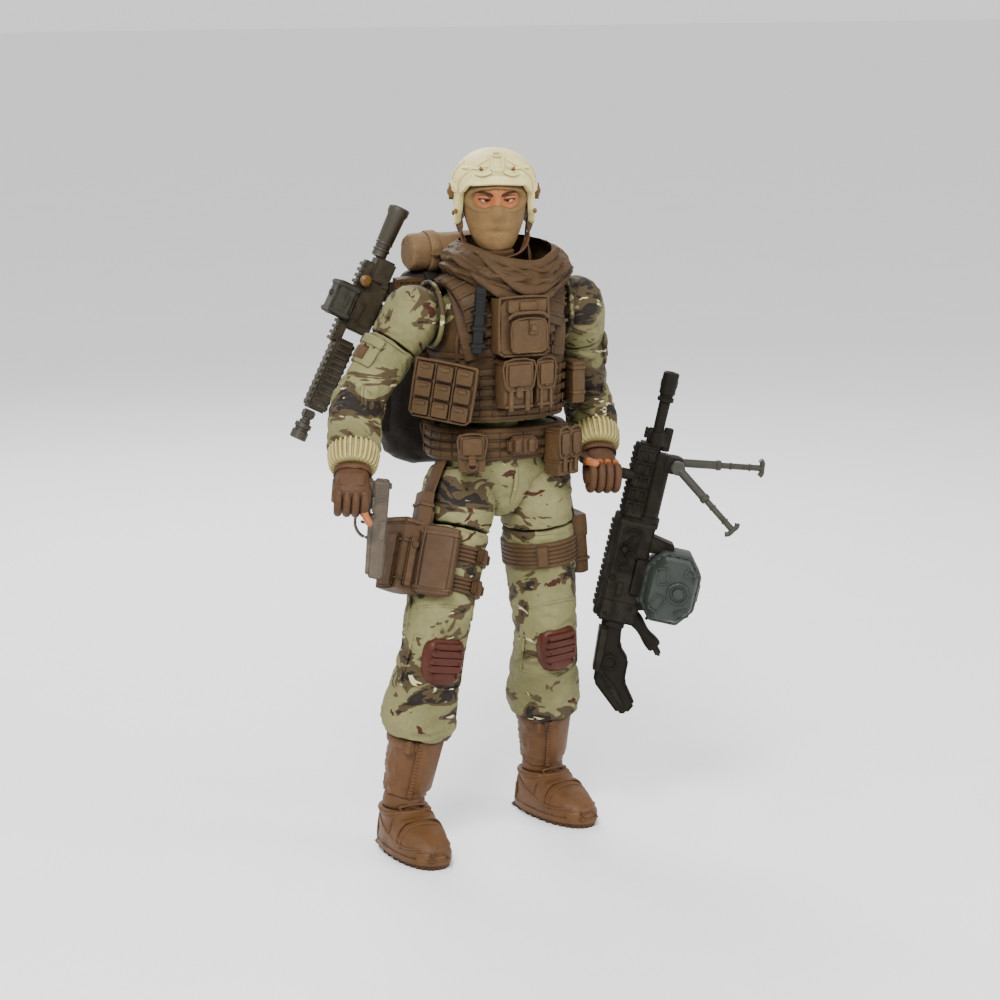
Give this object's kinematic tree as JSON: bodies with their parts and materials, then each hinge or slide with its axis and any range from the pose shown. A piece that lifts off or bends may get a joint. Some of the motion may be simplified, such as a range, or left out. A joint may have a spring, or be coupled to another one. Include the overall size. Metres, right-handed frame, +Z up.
{
  "type": "articulated action figure",
  "caption": "Posable one-twelfth scale soldier figure with helmet, masked head, vest, scarf, backpack, holster, pistol, rifle and machine gun with bipod and drum.",
  "frame": {"origin": "centre of the overall box at the plane of the boot soles", "axes": "+Z up, the figure faces -Y, its own left hand is at +X"},
  "size_m": [0.108, 0.0551, 0.1577],
  "materials": {
    "camo": "matte",
    "vest": "matte",
    "pouch": "matte",
    "scarf": "matte",
    "mask": "matte",
    "helmet": "matte",
    "glove": "matte",
    "knee_pad": "matte",
    "boot": "matte",
    "holster": "matte",
    "bag": "matte",
    "gun": "matte",
    "drum": "matte",
    "peg": "matte"
  },
  "bodies": {
    "root": {"pelvis": "camo", "belt": "vest", "belt_pouch_right": "pouch", "magazine_pouch_left": "pouch"},
    "waist": {"waist_ball": "peg"},
    "torso": {"torso": "camo", "vest": "vest", "chest_pouch": "pouch", "ammo_pouches": "pouch", "side_panel_right": "pouch", "side_pouch_left": "pouch", "sheath_knife": "holster", "scarf": "scarf"},
    "neck": {"neck_peg": "peg"},
    "head": {"head": "mask", "helmet": "helmet", "chin_strap": "glove"},
    "backpack": {"backpack": "bag", "bedroll": "bag"},
    "rifle": {"rifle": "gun", "rifle_sight": "gun"},
    "pistol": {"pistol": "gun"},
    "gun": {"machine_gun": "gun", "gun_stock": "gun"},
    "bipod_far": {"bipod_leg_far": "drum"},
    "bipod_near": {"bipod_leg_near": "drum"},
    "drum": {"gun_drum": "drum"},
    "shoulder_joint_R": {"shoulder_peg_R": "peg"},
    "shoulder_cap_R": {"shoulder_R": "camo"},
    "arm_R": {"upper_arm_R": "camo"},
    "forearm_R": {"forearm_R": "camo"},
    "hand_R": {"hand_R": "glove"},
    "shoulder_joint_L": {"shoulder_peg_L": "peg"},
    "shoulder_cap_L": {"shoulder_L": "camo"},
    "arm_L": {"upper_arm_L": "camo"},
    "forearm_L": {"forearm_L": "camo"},
    "hand_L": {"hand_L": "glove"},
    "hip_joint_R": {"hip_peg_R": "peg"},
    "hip_cup_R": {"hip_R": "camo"},
    "thigh_R": {"thigh_R": "camo", "holster": "holster"},
    "shin_R": {"shin_R": "camo", "knee_pad_R": "knee_pad", "boot_shaft_R": "boot"},
    "boot_R": {"boot_R": "boot"},
    "hip_joint_L": {"hip_peg_L": "peg"},
    "hip_cup_L": {"hip_L": "camo"},
    "thigh_L": {"thigh_L": "camo", "thigh_pouch": "pouch"},
    "shin_L": {"shin_L": "camo", "knee_pad_L": "knee_pad", "boot_shaft_L": "boot"},
    "boot_L": {"boot_L": "boot"}
  },
  "joints": [
    {"name": "waist_turn", "type": "hinge", "parent": "root", "child": "waist", "pos_m": [-0.00743, 0.00111, 0.097], "axis": [0, 0, 1], "range_deg": [-18, 18]},
    {"name": "waist_bend", "type": "hinge", "parent": "waist", "child": "torso", "pos_m": [-0.00743, 0.00111, 0.097], "axis": [1, 0, 0], "range_deg": [-6, 6]},
    {"name": "neck_tilt", "type": "hinge", "parent": "torso", "child": "neck", "pos_m": [-0.00793, 0.00111, 0.1295], "axis": [1, 0, 0], "range_deg": [-10, 12]},
    {"name": "head_turn", "type": "hinge", "parent": "neck", "child": "head", "pos_m": [-0.00793, 0.00111, 0.1385], "axis": [0, 0, 1], "range_deg": [-40, 50]},
    {"name": "shoulder_swing_R", "type": "hinge", "parent": "torso", "child": "shoulder_joint_R", "pos_m": [-0.02793, 0.00061, 0.1215], "axis": [-1, 0, 0], "range_deg": [-15, 80]},
    {"name": "shoulder_raise_R", "type": "hinge", "parent": "shoulder_joint_R", "child": "shoulder_cap_R", "pos_m": [-0.02793, 0.00061, 0.1215], "axis": [0, 1, 0], "range_deg": [-3, 60]},
    {"name": "bicep_turn_R", "type": "hinge", "parent": "shoulder_cap_R", "child": "arm_R", "pos_m": [-0.02793, 0.00061, 0.1215], "axis": [0.6033, 0.0215, 0.7972], "range_deg": [-30, 30]},
    {"name": "elbow_bend_R", "type": "hinge", "parent": "arm_R", "child": "forearm_R", "pos_m": [-0.04193, 0.00011, 0.103], "axis": [-0.7703, -0.2433, 0.5895], "range_deg": [-40, 55]},
    {"name": "wrist_turn_R", "type": "hinge", "parent": "forearm_R", "child": "hand_R", "pos_m": [-0.04793, -0.01239, 0.09], "axis": [0.3157, 0.6577, 0.684], "range_deg": [-45, 45]},
    {"name": "shoulder_swing_L", "type": "hinge", "parent": "torso", "child": "shoulder_joint_L", "pos_m": [0.01207, 0.00061, 0.1215], "axis": [-1, 0, 0], "range_deg": [-6, 45]},
    {"name": "shoulder_raise_L", "type": "hinge", "parent": "shoulder_joint_L", "child": "shoulder_cap_L", "pos_m": [0.01207, 0.00061, 0.1215], "axis": [0, -1, 0], "range_deg": [-2, 60]},
    {"name": "bicep_turn_L", "type": "hinge", "parent": "shoulder_cap_L", "child": "arm_L", "pos_m": [0.01207, 0.00061, 0.1215], "axis": [0.3009, 0.3611, -0.8827], "range_deg": [-35, 3]},
    {"name": "elbow_bend_L", "type": "hinge", "parent": "arm_L", "child": "forearm_L", "pos_m": [0.01957, 0.00961, 0.0995], "axis": [-0.9125, 0.378, -0.1564], "range_deg": [-40, 20]},
    {"name": "wrist_turn_L", "type": "hinge", "parent": "forearm_L", "child": "hand_L", "pos_m": [0.01607, -0.00339, 0.0885], "axis": [-0.2013, -0.7478, -0.6327], "range_deg": [-4, 40]},
    {"name": "hip_swing_R", "type": "hinge", "parent": "root", "child": "hip_joint_R", "pos_m": [-0.01673, 0.00061, 0.0805], "axis": [-1, 0, 0], "range_deg": [-20, 45]},
    {"name": "hip_spread_R", "type": "hinge", "parent": "hip_joint_R", "child": "hip_cup_R", "pos_m": [-0.01673, 0.00061, 0.0805], "axis": [0, 1, 0], "range_deg": [-2, 10]},
    {"name": "thigh_turn_R", "type": "hinge", "parent": "hip_cup_R", "child": "thigh_R", "pos_m": [-0.01673, 0.00061, 0.0805], "axis": [0.2915, 0.2286, 0.9288], "range_deg": [-20, 20]},
    {"name": "knee_bend_R", "type": "hinge", "parent": "thigh_R", "child": "shin_R", "pos_m": [-0.02693, -0.00739, 0.048], "axis": [0.9888, 0, -0.149], "range_deg": [-16, 68]},
    {"name": "ankle_tilt_R", "type": "hinge", "parent": "shin_R", "child": "boot_R", "pos_m": [-0.03243, -0.00289, 0.0115], "axis": [1, 0, 0], "range_deg": [-20, 20]},
    {"name": "hip_swing_L", "type": "hinge", "parent": "root", "child": "hip_joint_L", "pos_m": [0.00187, 0.00061, 0.0805], "axis": [-1, 0, 0], "range_deg": [-20, 45]},
    {"name": "hip_spread_L", "type": "hinge", "parent": "hip_joint_L", "child": "hip_cup_L", "pos_m": [0.00187, 0.00061, 0.0805], "axis": [0, -1, 0], "range_deg": [-2, 3]},
    {"name": "thigh_turn_L", "type": "hinge", "parent": "hip_cup_L", "child": "thigh_L", "pos_m": [0.00187, 0.00061, 0.0805], "axis": [0.0937, 0.0146, -0.9955], "range_deg": [-20, 20]},
    {"name": "knee_bend_L", "type": "hinge", "parent": "thigh_L", "child": "shin_L", "pos_m": [0.00507, 0.00111, 0.0465], "axis": [0.9935, 0, 0.1135], "range_deg": [-12, 72]},
    {"name": "ankle_tilt_L", "type": "hinge", "parent": "shin_L", "child": "boot_L", "pos_m": [0.00907, 0.01061, 0.0115], "axis": [1, 0, 0], "range_deg": [-14, 18]},
    {"name": "pistol_draw", "type": "slide", "parent": "hand_R", "child": "pistol", "axis": [0.9029, -0.421, -0.0872], "range_m": [0, 0.009]},
    {"name": "gun_release", "type": "slide", "parent": "hand_L", "child": "gun", "axis": [0.8848, -0.4126, -0.2164], "range_m": [0, 0.014]},
    {"name": "bipod_fold_far", "type": "hinge", "parent": "gun", "child": "bipod_far", "pos_m": [0.03285, -0.01008, 0.08532], "axis": [-0.4226, -0.9063, 0], "range_deg": [-20, 75]},
    {"name": "bipod_fold_near", "type": "hinge", "parent": "gun", "child": "bipod_near", "pos_m": [0.02972, -0.01679, 0.08532], "axis": [-0.4226, -0.9063, 0], "range_deg": [-10, 110]},
    {"name": "drum_release", "type": "slide", "parent": "gun", "child": "drum", "axis": [0.8848, -0.4126, -0.2164], "range_m": [0, 0.012]},
    {"name": "backpack_release", "type": "slide", "parent": "torso", "child": "backpack", "axis": [0, 1, 0], "range_m": [0, 0.012]},
    {"name": "rifle_release", "type": "slide", "parent": "backpack", "child": "rifle", "axis": [-1, 0, 0], "range_m": [0, 0.014]}
  ]
}
